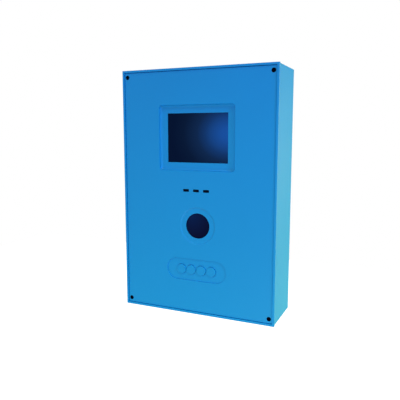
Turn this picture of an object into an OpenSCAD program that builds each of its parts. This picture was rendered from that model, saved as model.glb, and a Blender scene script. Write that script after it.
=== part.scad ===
/* [Case] */
// Width of the case across its front
case_w = 201.8; // [180:0.2:260]
// Height of the case
case_h = 303; // [290:0.5:400]
// Depth of the case from the wall to the rim
case_d = 73.6; // [68:0.1:100]
// Thickness of the case's side walls
wall_t = 2; // [1.6:0.1:2.4]
// Thickness of the case's back wall
back_t = 3; // [2.5:0.1:5]
// Radius of the case's back edges
back_edge_r = 4.5; // [2:0.5:6]
// How far the lip around the front stands out from the side walls
lip_w = 0.7; // [0.3:0.1:2]
// Depth of that lip
lip_d = 3; // [2:0.5:8]

/* [Front cover] */
// Depth of the cover's face behind the rim
cover_inset = 1.1; // [0.5:0.1:4]
// Thickness of the cover plate
cover_t = 4; // [3.4:0.1:5]
// Gap between the cover's edge and the rim
cover_gap = 0.3; // [0.2:0.1:0.5]
// Distance of each cover screw from the cover's side edge
screw_inset_x = 3.9; // [3.9:0.1:8]
// Distance of each cover screw from the cover's top or bottom edge
screw_inset_z = 5.5; // [4.5:0.1:9]
// Radius of the recesses that the cover screws sit in
recess_r = 2.75; // [2.7:0.05:3.2]
// Depth of those recesses
recess_d = 2.5; // [2:0.1:2.6]
// Width of the foam seal behind the cover's edge
seal_w = 1.7; // [1.2:0.1:1.8]
// Thickness of the foam seal when it is pressed
seal_t = 1.5; // [1:0.1:2.5]

/* [Display] */
// Width of the window
window_w = 80; // [60:1:96]
// Height of the window
window_h = 60; // [45:1:70]
// Width of the border between the window and the pocket's edge
pocket_border = 10; // [8:0.5:14]
// Depth of the pocket, which is also the radius of its coved walls
pocket_d = 4; // [3:0.1:5]
// Height of the window's centre above the case's centre
window_z = 68.7; // [60:0.1:74]
// Thickness of the pocket's floor
pocket_floor_t = 2.5; // [2:0.1:4]
// Thickness of the display glass
panel_t = 4; // [3:0.1:6]

/* [Status lights] */
// Width of one light slot
light_w = 8; // [5:0.5:10]
// Height of one light slot
light_h = 3.4; // [2:0.1:4]
// Distance between neighbouring light slots
light_pitch = 13.4; // [12:0.1:16]
// Height of the row of lights above the case's centre
light_z = 4.7; // [2:0.1:8]

/* [Code reader] */
// Radius of the reader's round port
port_r = 15.8; // [12:0.1:17]
// Width of the flat ring around the port
port_ring_w = 6.2; // [4:0.1:8]
// Depth of that ring below the cover's face
port_ring_d = 1; // [0.6:0.1:1.2]
// Sideways place of the port's centre
port_x = 1.8; // [-10:0.1:10]
// Height of the port's centre, which is below the case's centre
port_z = -39.1; // [-44:0.1:-36]
// Length of the reader's barrel behind the window
reader_len = 16; // [12:0.5:20]

/* [Keypad] */
// Width of the shallow pill-shaped recess around the buttons
pill_w = 80; // [76:1:110]
// Height of the pill-shaped recess
pill_h = 28; // [24:1:30]
// Depth of the pill-shaped recess
pill_d = 1; // [0.6:0.1:1.4]
// Height of the row of buttons, which is below the case's centre
keypad_z = -95.3; // [-105:0.1:-92]
// Radius of a button
button_r = 6; // [5:0.1:6]
// Distance between neighbouring buttons
button_pitch = 13.5; // [13.5:0.1:15]
// Height of a button's face above the floor of the pill-shaped recess
button_rise = 1.3; // [1.3:0.1:1.6]
// Travel of a button
button_travel = 1.2; // [0.6:0.1:1.2]
// Radius of a button's stem
stem_r = 2; // [1.8:0.1:2.4]

/* [Wall fixing] */
// Distance between the wall bolts across the case
bolt_span_x = 170; // [165:1:172]
// Distance between the wall bolts up the case
bolt_span_z = 250; // [244:1:260]
// Radius of a wall bolt's hole
bolt_hole_r = 2.75; // [2.2:0.05:3.3]
// Radius of the cable grommet's bore
cable_r = 6; // [4:0.1:7]
// Sideways place of the cable grommet
cable_x = 45; // [20:1:60]

/* [Inside] */
// Width of the steel mounting plate
plate_w = 150; // [146:1:152]
// Height of the steel mounting plate
plate_h = 200; // [198:1:210]
// Height of the bosses that hold the mounting plate off the back wall
plate_lift = 4; // [3:0.5:8]
// Thickness of every circuit board
board_t = 1.6; // [1:0.1:2]
// Width of the main board
board_w = 130; // [124:1:136]
// Height of the main board
board_h = 85; // [82:1:90]
// Height of the standoffs between the mounting plate and the main board
standoff_h = 8; // [6:0.5:12]
// Depth of the power supply's case
supply_d = 28; // [22:1:30]

/* [Hidden] */
$fn = 64;

// Clearances
fit_gap = 0.05;      // a shaft or a screw in its own hole
join = 0.05;         // how far two shapes of one piece run into each other
slip_gap = 0.15;     // a moulding dropped into an opening
free_gap = 0.3;      // pieces that pass each other
cut = 1;             // how far a cutting shape runs past the face it opens

// Depths are measured from the rim's front plane towards the wall
face = cover_inset;                          // front of the cover
cover_back = face + cover_t;                 // back of the cover plate
pocket_floor = face + pocket_d;              // floor of the display pocket
tray_back = pocket_floor + pocket_floor_t;   // back of the pocket's tray
back_inner = case_d - back_t;                // inner face of the back wall

// Case
in_w = case_w - 2 * wall_t;
in_h = case_h - 2 * wall_t;
cover_w = in_w - 2 * cover_gap;
cover_h = in_h - 2 * cover_gap;
screw_x = cover_w / 2 - screw_inset_x;
screw_z = cover_h / 2 - screw_inset_z;
ledge_front = cover_back + seal_t;           // the seal lies between the cover and this ledge
ledge_w = wall_t + 0.2;
ledge_t = 2.5;
boss_r = 5;
shank_r = 1.45;
head_r = 2.6;
head_t = 1.3;
hex_r = 1.15;
socket_floor = 0.4;
insert_r = 2.1;
insert_len = 6;
shank_len = 11;

// Display stack
pocket_w = window_w + 2 * pocket_border;
pocket_h = window_h + 2 * pocket_border;
tray_wall = 2.5;
tray_r = 6;
tray_w = pocket_w + 2 * tray_wall;
tray_h = pocket_h + 2 * tray_wall;
window_pos = [0, window_z];
flange_w = 4;
flange_t = 2;
flange_back = tray_back + flange_t;
gasket_t = 1;
gasket_back = flange_back + gasket_t;
panel_back = gasket_back + panel_t;
panel_margin = 6;
post_r = 3;
display_post_x = window_w / 2 + panel_margin + post_r + 0.5;
display_post_z = window_h / 2 + panel_margin + post_r + 0.5;
board_margin = 4;    // from a screw to the edge of its board
display_board_back = panel_back + board_t;
small_shank_r = 1.2;
small_head_r = 2.25;
small_head_t = 1.8;
small_grip = 5;      // depth of a small screw's hole in a long post
short_grip = 4.2;    // depth of its hole in a short post

// Status lights
light_pos = [for (i = [-1:1]) [i * light_pitch, light_z]];
lens_sink = 0.2;
lens_flange = 1;
lens_flange_t = 1;
lens_back = cover_back + 1.6;
led_w = 3;
led_h = 2;
led_t = 1.2;
status_front = lens_back + free_gap + led_t;
status_w = 56;
status_h = 12;
status_post_x = 24;

// Code reader
port_pos = [port_x, port_z];
ring_slope = 1.7;
ring_floor = face + port_ring_d;
port_flange_w = 2.4;
port_flange_t = 1.5;
port_sink = 0.3;
barrel_front = cover_back + port_flange_t;
barrel_back = barrel_front + reader_len;
barrel_wall = 2;
barrel_r = port_r + port_flange_w + barrel_wall;
reader_ear = 7;
reader_screw_r = barrel_r + reader_ear / 2;
reader_ear_t = 3;
lens_base_r = 6;
lens_base_t = 6;
lens_r = 4.5;
lens_len = 9;

// Keypad
keypad_ribbon_x = -26;
button_x = [for (i = [0:3]) (i - 1.5) * button_pitch];
pill_floor = face + pill_d;
button_face = pill_floor - button_rise;
ear_room = 1.5;
cap_back = cover_back + ear_room;        // the cap's ears lie behind the cover
button_gap = 0.25;
ear_w = 3;
ear_reach = 1.8;                         // how far each ear stands out from the cap
ear_len = 2 * (button_r + ear_reach);
ear_t = cap_back - cover_back - 2 * fit_gap;
spring_len = 4;
guide_front = cap_back + spring_len;
guide_t = 2;
guide_back = guide_front + guide_t;
stem_end = guide_back + free_gap;
switch_gap = button_travel + free_gap;
switch_front = stem_end + switch_gap;
switch_t = 3;
switch_floor = 0.5;
keypad_front = switch_front + switch_t;
keypad_back = keypad_front + board_t;
keypad_h = 26;
keypad_post_gap = 13.75;                 // from the last button to the guide's post
keypad_post_x = 1.5 * button_pitch + keypad_post_gap;
keypad_w = 2 * (keypad_post_x + board_margin);
guide_wall = 2;
plunger_r = 1.75;
plunger_grip = 0.9;                      // length of plunger inside the switch at rest
plunger_len = switch_gap + plunger_grip;
switch_w = 6;
spring_r = 3;
wire_r = 0.3;
spring_turns = 3.5;

// Inside the case
plate_t = 1.5;
plate_back = back_inner - plate_lift;
plate_front = plate_back - plate_t;
plate_screw_x = plate_w / 2 - 7;
plate_screw_z = plate_h / 2 - 7;
bolt_pad_r = 8;
bolt_pad_t = 1.5;
cable_z = -bolt_span_z / 2;
grommet_flange = 5.5;
grommet_neck = 3;
grommet_pocket = 1.5;
board_pos = [0, 37.5];
board_back = plate_front - standoff_h;
board_front = board_back - board_t;
standoff_x = board_w / 2 - 5;
standoff_z = board_h / 2 - 5;
standoff_r = 3.2;
supply_w = 92;
supply_h = 52;
supply_pos = [-22, -52];
vent_pitch = 8;
vent_w = 3;
vent_d = 1;
supply_front = plate_front - supply_d;
terminal_d = 12;
terminal_w = 10;
terminal_h = 26;
terminal_pitch = 8;
terminal_hole_r = 2;
terminal_hole_d = 5;
supply_term_pos = [supply_pos[0] + supply_w / 2 + terminal_w / 2, supply_pos[1] + 8];
field_pos = [50, -80];
field_w = 40;
field_h = 16;
field_pitch = 7.5;
socket_d = 7;
socket_w = 26;
socket_h = 7;
socket_mouth = 4;
socket_base = 1;
socket_pos = [-30, 45];
ribbon_w = 20;
ribbon_t = 0.5;
plug_t = 4;
plug_base_t = 3;
flat_plug_t = 2;
flat_plug_w = 13;
plug_h = 5;
plug_rise = 6;       // the display board's plug lies this far above the main board's socket
flat_ribbon_w = 8;
modem_pos = [34, 62];
modem_w = 46;
modem_h = 28;
modem_lift = 3;
header_inset = 3;    // pin headers that carry the modem board
header_w = 2.4;
modem_back = board_front - modem_lift;
modem_t = 1;
modem_front = modem_back - modem_t;
shield_t = 3;
antenna_w = 90;
antenna_len = 18;
antenna_t = 1.2;
power_plug_pos = [54, 8];
power_plug_t = 6;
sink_pos = [24, 32];
sink_w = 24;
sink_d = 9;
sink_base_t = 3;
fin_pitch = 4.4;
fin_gap = 2.4;
cell_pos = [-2, 38];
cell_r = 10;
cell_t = 3.2;
// Place, size and height of each chip and of the power connector on the main board
chips = [
    [[0, 62], [12, 16], 1.2],
    [[0, 14], [18, 10], 1.6],
    [[-50, 60], [10, 14], 2],
    [[-24, 12], [10, 10], 4],
    [power_plug_pos, [10, 8], power_plug_t]
];
lead_r = 1.1;
lead_gap = 3.6;

// A flat outline moved to its depth and given its thickness
module slab(front, back) {
    translate([0, back - case_d, 0])
        rotate([90, 0, 0])
            linear_extrude(back - front)
                children();
}

module disc(at, r, front, back) {
    slab(front, back) translate(at) circle(r);
}

module block(at, size, front, back) {
    slab(front, back) translate(at) square(size, center = true);
}

module rounded_rect(size, r) {
    square([size[0] - 2 * r, size[1]], center = true);
    square([size[0], size[1] - 2 * r], center = true);
    for (x = [-1, 1], z = [-1, 1])
        translate([x * (size[0] / 2 - r), z * (size[1] / 2 - r)])
            circle(r);
}

module pill(size) {
    square([size[0] - size[1], size[1]], center = true);
    for (x = [-1, 1])
        translate([x * (size[0] - size[1]) / 2, 0])
            circle(size[1] / 2);
}

// A copy of the children at each of the four corners
module corners(x, z, centre = [0, 0]) {
    for (sx = [-1, 1], sz = [-1, 1])
        translate([centre[0] + sx * x, 0, centre[1] + sz * z])
            children();
}

// A screw whose head starts at the given depth and points at the wall
module screw(head, head_front, shank, length, thickness) {
    disc([0, 0], head, head_front, head_front + thickness);
    disc([0, 0], shank, head_front + thickness, head_front + thickness + length);
}

// A flat strip of constant thickness along a line of [depth, height] points
function unit(v) = v / norm(v);
function left_of(v) = [-v[1], v[0]];
function along(line, i) = unit(line[min(i + 1, len(line) - 1)] - line[max(i - 1, 0)]);
function side_line(line, offset) = [for (i = [0:len(line) - 1]) line[i] + offset * left_of(along(line, i))];
function turned(line) = [for (i = [len(line) - 1:-1:0]) line[i]];

module strip(x, width, line) {
    outline = concat(side_line(line, ribbon_t / 2), turned(side_line(line, -ribbon_t / 2)));
    translate([x - width / 2, -case_d, 0])
        rotate([90, 0, 90])
            linear_extrude(width)
                polygon(outline);
}

// A round lead swept along a smoothed route of [x, depth, z] points
function blend(a, b, c, d, t) =
    (2 * b + (c - a) * t + (2 * a - 5 * b + 4 * c - d) * t * t + (3 * b - a - 3 * c + d) * t * t * t) / 2;
function smoothed(route, steps) = concat(
    [for (i = [0:len(route) - 2], k = [0:steps - 1])
        blend(route[max(i - 1, 0)], route[i], route[i + 1], route[min(i + 2, len(route) - 1)], k / steps)],
    [route[len(route) - 1]]);

module tube(path, r, sides, across) {
    count = len(path);
    points = [for (i = [0:count - 1])
        let (t = along(path, i), u = unit(cross(t, across)), v = cross(u, t))
            for (k = [0:sides - 1])
                path[i] + r * (cos(360 * k / sides) * u + sin(360 * k / sides) * v)];
    skin = [for (i = [0:count - 2], k = [0:sides - 1])
        [i * sides + k, i * sides + (k + 1) % sides, (i + 1) * sides + (k + 1) % sides, (i + 1) * sides + k]];
    first = [for (k = [sides - 1:-1:0]) k];
    last = [for (k = [0:sides - 1]) (count - 1) * sides + k];
    polyhedron(points, concat(skin, [first, last]));
}

module lead(route) {
    translate([0, -case_d, 0])
        tube(smoothed(route, 5), lead_r, 8, [1, 0.2, 0.1]);
}

// Outline of the case seen along one of its long edges: round at the wall side only
module back_rounded(width) {
    r = back_edge_r;
    translate([-width / 2, -case_d]) square([width, case_d - r]);
    translate([-width / 2 + r, -r - cut]) square([width - 2 * r, r + cut]);
    for (side = [-1, 1])
        translate([side * (width / 2 - r), -r]) circle(r);
}

module case_block() {
    intersection() {
        translate([0, 0, -case_h / 2]) linear_extrude(case_h) back_rounded(case_w);
        translate([-case_w / 2, 0, 0]) rotate([0, 90, 0]) linear_extrude(case_w) back_rounded(case_h);
    }
}

module housing() {
    color([0.12, 0.52, 0.79])
    difference() {
        union() {
            difference() {
                union() {
                    case_block();
                    block([0, 0], [case_w + 2 * lip_w, case_h + 2 * lip_w], 0, lip_d);
                }
                block([0, 0], [in_w, in_h], -cut, back_inner);
            }
            difference() {
                block([0, 0], [in_w + wall_t, in_h + wall_t], ledge_front, ledge_front + ledge_t);
                block([0, 0], [in_w - 2 * ledge_w, in_h - 2 * ledge_w],
                    ledge_front - cut, ledge_front + ledge_t + cut);
            }
            corners(screw_x, screw_z) disc([0, 0], boss_r, ledge_front, back_inner + cut);
            corners(plate_screw_x, plate_screw_z) disc([0, 0], boss_r, plate_back, back_inner + cut);
            corners(bolt_span_x / 2, bolt_span_z / 2)
                disc([0, 0], bolt_pad_r, back_inner - bolt_pad_t, back_inner + cut);
        }
        corners(screw_x, screw_z) {
            disc([0, 0], insert_r + fit_gap, ledge_front - cut, ledge_front + insert_len);
            disc([0, 0], shank_r + slip_gap, ledge_front, ledge_front + shank_len);
        }
        corners(plate_screw_x, plate_screw_z)
            disc([0, 0], shank_r + fit_gap, plate_back - cut, back_inner + cut);
        corners(bolt_span_x / 2, bolt_span_z / 2)
            disc([0, 0], bolt_hole_r, back_inner - bolt_pad_t - cut, case_d + cut);
        disc([cable_x, cable_z], cable_r + grommet_neck, back_inner - cut, case_d + cut);
        disc([cable_x, cable_z], cable_r + grommet_flange + slip_gap, case_d - grommet_pocket, case_d + cut);
    }
}

module threaded_inserts() {
    color([0.78, 0.62, 0.3])
    corners(screw_x, screw_z)
        difference() {
            disc([0, 0], insert_r, ledge_front, ledge_front + insert_len);
            disc([0, 0], shank_r + fit_gap, ledge_front - cut, ledge_front + insert_len + cut);
        }
}

module cable_grommet() {
    color([0.08, 0.08, 0.09])
    difference() {
        union() {
            disc([cable_x, cable_z], cable_r + grommet_flange, back_inner - grommet_pocket, back_inner);
            disc([cable_x, cable_z], cable_r + grommet_neck - fit_gap,
                back_inner - join, case_d - grommet_pocket + join);
            disc([cable_x, cable_z], cable_r + grommet_flange, case_d - grommet_pocket, case_d);
        }
        disc([cable_x, cable_z], cable_r, back_inner - grommet_pocket - cut, case_d + cut);
    }
}

module mounting_plate() {
    color([0.72, 0.73, 0.75])
    difference() {
        block([0, 0], [plate_w, plate_h], plate_front, plate_back);
        corners(plate_screw_x, plate_screw_z)
            disc([0, 0], shank_r + slip_gap, plate_front - cut, plate_back + cut);
        corners(standoff_x, standoff_z, board_pos)
            disc([0, 0], small_shank_r + fit_gap, plate_front - cut, plate_back + cut);
    }
}

module plate_screws() {
    color([0.55, 0.56, 0.58])
    corners(plate_screw_x, plate_screw_z)
        screw(head_r, plate_front - head_t, shank_r, plate_t + plate_lift - free_gap, head_t);
}

module power_supply() {
    color([0.82, 0.83, 0.84])
    difference() {
        block(supply_pos, [supply_w, supply_h], supply_front, plate_front);
        for (i = [-4:4])
            block([supply_pos[0] + vent_pitch * i, supply_pos[1]], [vent_w, supply_h - 20],
                supply_front - cut, supply_front + vent_d);
    }
}

module supply_terminals() {
    color([0.12, 0.13, 0.14])
    difference() {
        block(supply_term_pos, [terminal_w, terminal_h], plate_front - terminal_d, plate_front);
        for (i = [-1:1])
            disc([supply_term_pos[0], supply_term_pos[1] + terminal_pitch * i], terminal_hole_r,
                plate_front - terminal_d - cut, plate_front - terminal_d + terminal_hole_d);
    }
}

module supply_leads() {
    start = plate_front - terminal_d + terminal_hole_d - free_gap;
    end = board_front - power_plug_t - free_gap;
    color([0.75, 0.1, 0.08])
    for (i = [0, 1])
        lead([
            [supply_term_pos[0], start, supply_term_pos[1] + terminal_pitch * i],
            [supply_term_pos[0], start - 5, supply_term_pos[1] + terminal_pitch * i],
            [supply_term_pos[0], start - 8, supply_term_pos[1] + terminal_pitch * i],
            [supply_term_pos[0] + 8, start - 14, supply_term_pos[1] + 16 + lead_gap * i],
            [power_plug_pos[0] + lead_gap * (0.5 - i), end - 9, power_plug_pos[1] - 18],
            [power_plug_pos[0] + lead_gap * (0.5 - i), end - 5, power_plug_pos[1]],
            [power_plug_pos[0] + lead_gap * (0.5 - i), end - 1, power_plug_pos[1]],
            [power_plug_pos[0] + lead_gap * (0.5 - i), end, power_plug_pos[1]]
        ]);
}

module field_terminals() {
    color([0.16, 0.45, 0.2])
    difference() {
        block(field_pos, [field_w, field_h], plate_front - terminal_d, plate_front);
        for (i = [-2:2])
            disc([field_pos[0] + field_pitch * i, field_pos[1]], terminal_hole_r,
                plate_front - terminal_d - cut, plate_front - terminal_d + terminal_hole_d);
    }
}

module board_standoffs() {
    color([0.8, 0.68, 0.35])
    corners(standoff_x, standoff_z, board_pos)
        difference() {
            slab(board_back, plate_front) circle(standoff_r, $fn = 6);
            disc([0, 0], small_shank_r + fit_gap, board_back - cut, plate_front + cut);
        }
}

module main_board() {
    color([0.05, 0.3, 0.16])
    difference() {
        block(board_pos, [board_w, board_h], board_front, board_back);
        corners(standoff_x, standoff_z, board_pos)
            disc([0, 0], small_shank_r + slip_gap, board_front - cut, board_back + cut);
    }
}

module board_screws() {
    color([0.55, 0.56, 0.58])
    corners(standoff_x, standoff_z, board_pos)
        screw(small_head_r, board_front - small_head_t, small_shank_r,
            board_t + standoff_h - free_gap, small_head_t);
}

module board_chips() {
    color([0.1, 0.1, 0.11])
    for (chip = chips)
        block(chip[0], chip[1], board_front - chip[2], board_front);
}

module heat_sink() {
    color([0.15, 0.15, 0.16])
    difference() {
        block(sink_pos, [sink_w, sink_w], board_front - sink_d, board_front);
        for (i = [-2:2])
            block([sink_pos[0] + fin_pitch * i, sink_pos[1]], [fin_gap, sink_w + cut],
                board_front - sink_d - cut, board_front - sink_base_t);
    }
}

module clock_cell() {
    color([0.8, 0.81, 0.82])
    disc(cell_pos, cell_r, board_front - cell_t, board_front);
}

module ribbon_socket() {
    color([0.09, 0.09, 0.1])
    difference() {
        block(socket_pos, [socket_w, socket_h], board_front - socket_d, board_front);
        block(socket_pos, [ribbon_w + 2 * free_gap, socket_mouth],
            board_front - socket_d - cut, board_front - socket_base);
    }
}

module modem_board() {
    color([0.06, 0.2, 0.36])
    {
        block(modem_pos, [modem_w, modem_h], modem_front, modem_back);
        for (side = [-1, 1])
            block([modem_pos[0], modem_pos[1] + side * (modem_h / 2 - header_inset)],
                [modem_w - 12, header_w],
                modem_back - join, board_front);
    }
}

module modem_shield() {
    color([0.8, 0.8, 0.78])
    block([modem_pos[0] - 4, modem_pos[1]], [modem_w - 14, modem_h - 6], modem_front - shield_t, modem_front);
}

// A strip aerial stuck to the inside of the case's top wall
module antenna() {
    top = in_h / 2;
    color([0.07, 0.07, 0.08])
    block([0, top - antenna_t / 2], [antenna_w, antenna_t], back_inner - 12 - antenna_len, back_inner - 12);
}

module antenna_lead() {
    top = in_h / 2 - antenna_t - lead_r - free_gap;
    start = [modem_pos[0] + modem_w / 2 - 4, modem_front - free_gap, modem_pos[1] + 8];
    end_depth = back_inner - 12 - antenna_len / 2;
    color([0.1, 0.1, 0.1])
    lead([
        start,
        start - [0, 1, 0],
        start - [0, 5, 0],
        [start[0] + 6, start[1] - 8, start[2] + 20],
        [start[0] + 2, start[1] - 4, top - 30],
        [start[0] - 14, end_depth, top - 6],
        [start[0] - 26, end_depth, top],
        [start[0] - 34, end_depth, top]
    ]);
}

// Section across the pocket: a flat floor that curves up to both edges
module coved(floor_w) {
    translate([-floor_w / 2, -cut]) square([floor_w, cut + pocket_d]);
    for (side = [-1, 1])
        translate([side * floor_w / 2, 0]) circle(pocket_d);
}

module pocket_cut() {
    floor_w = pocket_w - 2 * pocket_d;
    floor_h = pocket_h - 2 * pocket_d;
    translate([0, face - case_d, window_z]) {
        translate([0, 0, -floor_h / 2]) linear_extrude(floor_h) coved(floor_w);
        translate([-floor_w / 2, 0, 0]) rotate([0, 90, 0]) linear_extrude(floor_w) coved(floor_h);
        for (x = [-1, 1], z = [-1, 1])
            translate([x * floor_w / 2, 0, z * floor_h / 2]) sphere(pocket_d);
    }
}

module front_cover() {
    color([0.14, 0.56, 0.83])
    difference() {
        union() {
            block([0, 0], [cover_w, cover_h], face, cover_back);
            slab(cover_back - join, tray_back) translate(window_pos) rounded_rect([tray_w, tray_h], tray_r);
            corners(display_post_x, display_post_z, window_pos)
                disc([0, 0], post_r, tray_back - join, panel_back);
            for (side = [-1, 1]) {
                disc([side * status_post_x, light_z], post_r, cover_back - join, status_front);
                disc([port_x, port_z + side * reader_screw_r], post_r,
                    cover_back - join, barrel_back - reader_ear_t);
                disc([side * keypad_post_x, keypad_z], post_r, cover_back - join, guide_front);
            }
        }
        pocket_cut();
        block(window_pos, [window_w, window_h], face - cut, tray_back + cut);
        for (at = light_pos)
            slab(face - cut, cover_back + cut) translate(at) rounded_rect([light_w, light_h], 1);
        disc(port_pos, port_r, face - cut, cover_back + cut);
        ring_cut();
        slab(face - cut, pill_floor) translate([0, keypad_z]) pill([pill_w, pill_h]);
        for (x = button_x)
            disc([x, keypad_z], button_r + button_gap, face - cut, cover_back + cut);
        corners(screw_x, screw_z) {
            disc([0, 0], recess_r, face - cut, face + recess_d);
            disc([0, 0], shank_r + slip_gap, face, cover_back + cut);
        }
        corners(display_post_x, display_post_z, window_pos)
            disc([0, 0], small_shank_r + fit_gap, panel_back - small_grip, panel_back + cut);
        for (side = [-1, 1]) {
            disc([side * status_post_x, light_z], small_shank_r + fit_gap,
                status_front - short_grip, status_front + cut);
            disc([port_x, port_z + side * reader_screw_r], small_shank_r + fit_gap,
                barrel_back - reader_ear_t - small_grip, barrel_back);
            disc([side * keypad_post_x, keypad_z], small_shank_r + fit_gap,
                guide_front - short_grip, guide_front + cut);
        }
    }
}

// The ring around the port: a flat floor with a sloping outer edge
module ring_cut() {
    floor_r = port_r + port_ring_w;
    translate([port_x, face - case_d, port_z])
        rotate([90, 0, 0])
            rotate_extrude()
                polygon([
                    [0, -port_ring_d], [floor_r, -port_ring_d],
                    [floor_r + ring_slope, 0], [floor_r + ring_slope, cut], [0, cut]
                ]);
}

module cover_seal() {
    color([0.06, 0.06, 0.07])
    difference() {
        block([0, 0], [cover_w, cover_h], cover_back, ledge_front);
        block([0, 0], [cover_w - 2 * seal_w, cover_h - 2 * seal_w], cover_back - cut, ledge_front + cut);
    }
}

module cover_screws() {
    color([0.1, 0.1, 0.12])
    corners(screw_x, screw_z)
        difference() {
            screw(head_r, face + recess_d - head_t, shank_r, shank_len, head_t);
            slab(face + recess_d - head_t - cut, face + recess_d - socket_floor) circle(hex_r, $fn = 6);
        }
}

module display_window() {
    color([0.04, 0.1, 0.2])
    {
        block(window_pos, [window_w - 2 * slip_gap, window_h - 2 * slip_gap],
            pocket_floor + free_gap, tray_back + join);
        block(window_pos, [window_w + 2 * flange_w, window_h + 2 * flange_w], tray_back, flange_back);
    }
}

module display_gasket() {
    color([0.06, 0.06, 0.07])
    difference() {
        block(window_pos, [window_w + 2 * flange_w, window_h + 2 * flange_w], flange_back, gasket_back);
        block(window_pos, [window_w + 2, window_h + 2], flange_back - cut, gasket_back + cut);
    }
}

module display_panel() {
    color([0.15, 0.35, 0.62])
    block(window_pos, [window_w + 2 * panel_margin, window_h + 2 * panel_margin], gasket_back, panel_back);
}

module display_board() {
    board = [2 * (display_post_x + board_margin), 2 * (display_post_z + board_margin)];
    color([0.05, 0.3, 0.16])
    difference() {
        union() {
            block(window_pos, board, panel_back, display_board_back);
            block([socket_pos[0], socket_pos[1] + plug_rise], [ribbon_w + 3, plug_h],
                display_board_back - join, display_board_back + plug_base_t);
            for (x = [keypad_ribbon_x, port_x])
                block([x, window_z - display_post_z], [flat_plug_w, plug_h],
                    display_board_back - join, display_board_back + flat_plug_t);
        }
        corners(display_post_x, display_post_z, window_pos)
            disc([0, 0], small_shank_r + slip_gap, panel_back - cut, display_board_back + cut);
    }
}

module display_screws() {
    color([0.55, 0.56, 0.58])
    corners(display_post_x, display_post_z, window_pos)
        back_screw(display_board_back, board_t + small_grip - free_gap);
}

// A small screw driven from behind the cover
module back_screw(seat, length) {
    disc([0, 0], small_head_r, seat, seat + small_head_t);
    disc([0, 0], small_shank_r, seat - length, seat);
}

module status_lenses() {
    color([0.03, 0.08, 0.15])
    for (at = light_pos) {
        slab(face + lens_sink, cover_back + join) translate(at)
            rounded_rect([light_w - 2 * slip_gap, light_h - 2 * slip_gap], 1 - slip_gap);
        block(at, [light_w + 2 * lens_flange, light_h + 2 * lens_flange],
            cover_back, cover_back + lens_flange_t);
        block(at, [light_w - 2, light_h - 1], cover_back + lens_flange_t - join, lens_back);
    }
}

module status_board() {
    color([0.05, 0.3, 0.16])
    difference() {
        block([0, light_z], [status_w, status_h], status_front, status_front + board_t);
        for (side = [-1, 1])
            disc([side * status_post_x, light_z], small_shank_r + slip_gap,
                status_front - cut, status_front + board_t + cut);
    }
}

module status_leds() {
    color([0.9, 0.9, 0.86])
    for (at = light_pos)
        block(at, [led_w, led_h], status_front - led_t, status_front);
}

module status_screws() {
    color([0.55, 0.56, 0.58])
    for (side = [-1, 1])
        translate([side * status_post_x, 0, light_z])
            back_screw(status_front + board_t, board_t + short_grip - free_gap);
}

module reader_window() {
    color([0.04, 0.09, 0.22])
    {
        disc(port_pos, port_r - slip_gap, ring_floor + port_sink, cover_back + join);
        disc(port_pos, port_r + port_flange_w, cover_back, barrel_front);
    }
}

module reader_housing() {
    color([0.08, 0.08, 0.09])
    difference() {
        union() {
            disc(port_pos, barrel_r, barrel_front, barrel_back);
            block(port_pos, [2 * post_r, 2 * reader_screw_r], barrel_back - reader_ear_t, barrel_back);
            for (side = [-1, 1])
                disc([port_x, port_z + side * reader_screw_r], post_r,
                    barrel_back - reader_ear_t, barrel_back);
        }
        disc(port_pos, barrel_r - barrel_wall, barrel_front - cut, barrel_back - barrel_wall);
        for (side = [-1, 1])
            disc([port_x, port_z + side * reader_screw_r], small_shank_r + slip_gap,
                barrel_back - reader_ear_t - cut, barrel_back + cut);
    }
}

module reader_board() {
    color([0.05, 0.3, 0.16])
    disc(port_pos, barrel_r - barrel_wall - fit_gap,
        barrel_back - barrel_wall - board_t, barrel_back - barrel_wall);
}

module reader_lens() {
    board_face = barrel_back - barrel_wall - board_t;
    color([0.02, 0.02, 0.03])
    {
        disc(port_pos, lens_base_r, board_face - lens_base_t, board_face);
        disc(port_pos, lens_r, board_face - lens_len, board_face - lens_base_t + join);
    }
}

module reader_screws() {
    color([0.55, 0.56, 0.58])
    for (side = [-1, 1])
        translate([port_x, 0, port_z + side * reader_screw_r])
            back_screw(barrel_back, reader_ear_t + small_grip - free_gap);
}

module keypad_guide() {
    color([0.2, 0.21, 0.22])
    difference() {
        union() {
            block([0, keypad_z], [keypad_w, keypad_h], guide_front, guide_back);
            difference() {
                block([0, keypad_z], [keypad_w, keypad_h], guide_back - join, keypad_front);
                block([0, keypad_z], [keypad_w - 2 * guide_wall, keypad_h - 2 * guide_wall],
                    guide_back - cut, keypad_front + cut);
            }
            for (side = [-1, 1])
                disc([side * keypad_post_x, keypad_z], post_r, guide_back - join, keypad_front);
        }
        for (x = button_x)
            disc([x, keypad_z], stem_r + fit_gap, guide_front - cut, guide_back + cut);
        for (side = [-1, 1])
            disc([side * keypad_post_x, keypad_z], small_shank_r + slip_gap,
                guide_front - cut, keypad_front + cut);
    }
}

module keypad_board() {
    color([0.05, 0.3, 0.16])
    difference() {
        union() {
            block([0, keypad_z], [keypad_w, keypad_h], keypad_front, keypad_back);
            block([keypad_ribbon_x, keypad_z + keypad_h / 2 - board_margin],
                [flat_ribbon_w + 1, plug_h], keypad_back - join, keypad_back + flat_plug_t);
        }
        for (side = [-1, 1])
            disc([side * keypad_post_x, keypad_z], small_shank_r + slip_gap,
                keypad_front - cut, keypad_back + cut);
    }
}

module keypad_switches() {
    color([0.12, 0.12, 0.13])
    for (x = button_x)
        difference() {
            block([x, keypad_z], [switch_w, switch_w], switch_front, keypad_front);
            disc([x, keypad_z], plunger_r + fit_gap, switch_front - cut, keypad_front - switch_floor);
        }
}

module keypad_screws() {
    color([0.55, 0.56, 0.58])
    for (side = [-1, 1])
        translate([side * keypad_post_x, 0, keypad_z])
            back_screw(keypad_back, keypad_back - guide_front + short_grip - free_gap);
}

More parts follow.
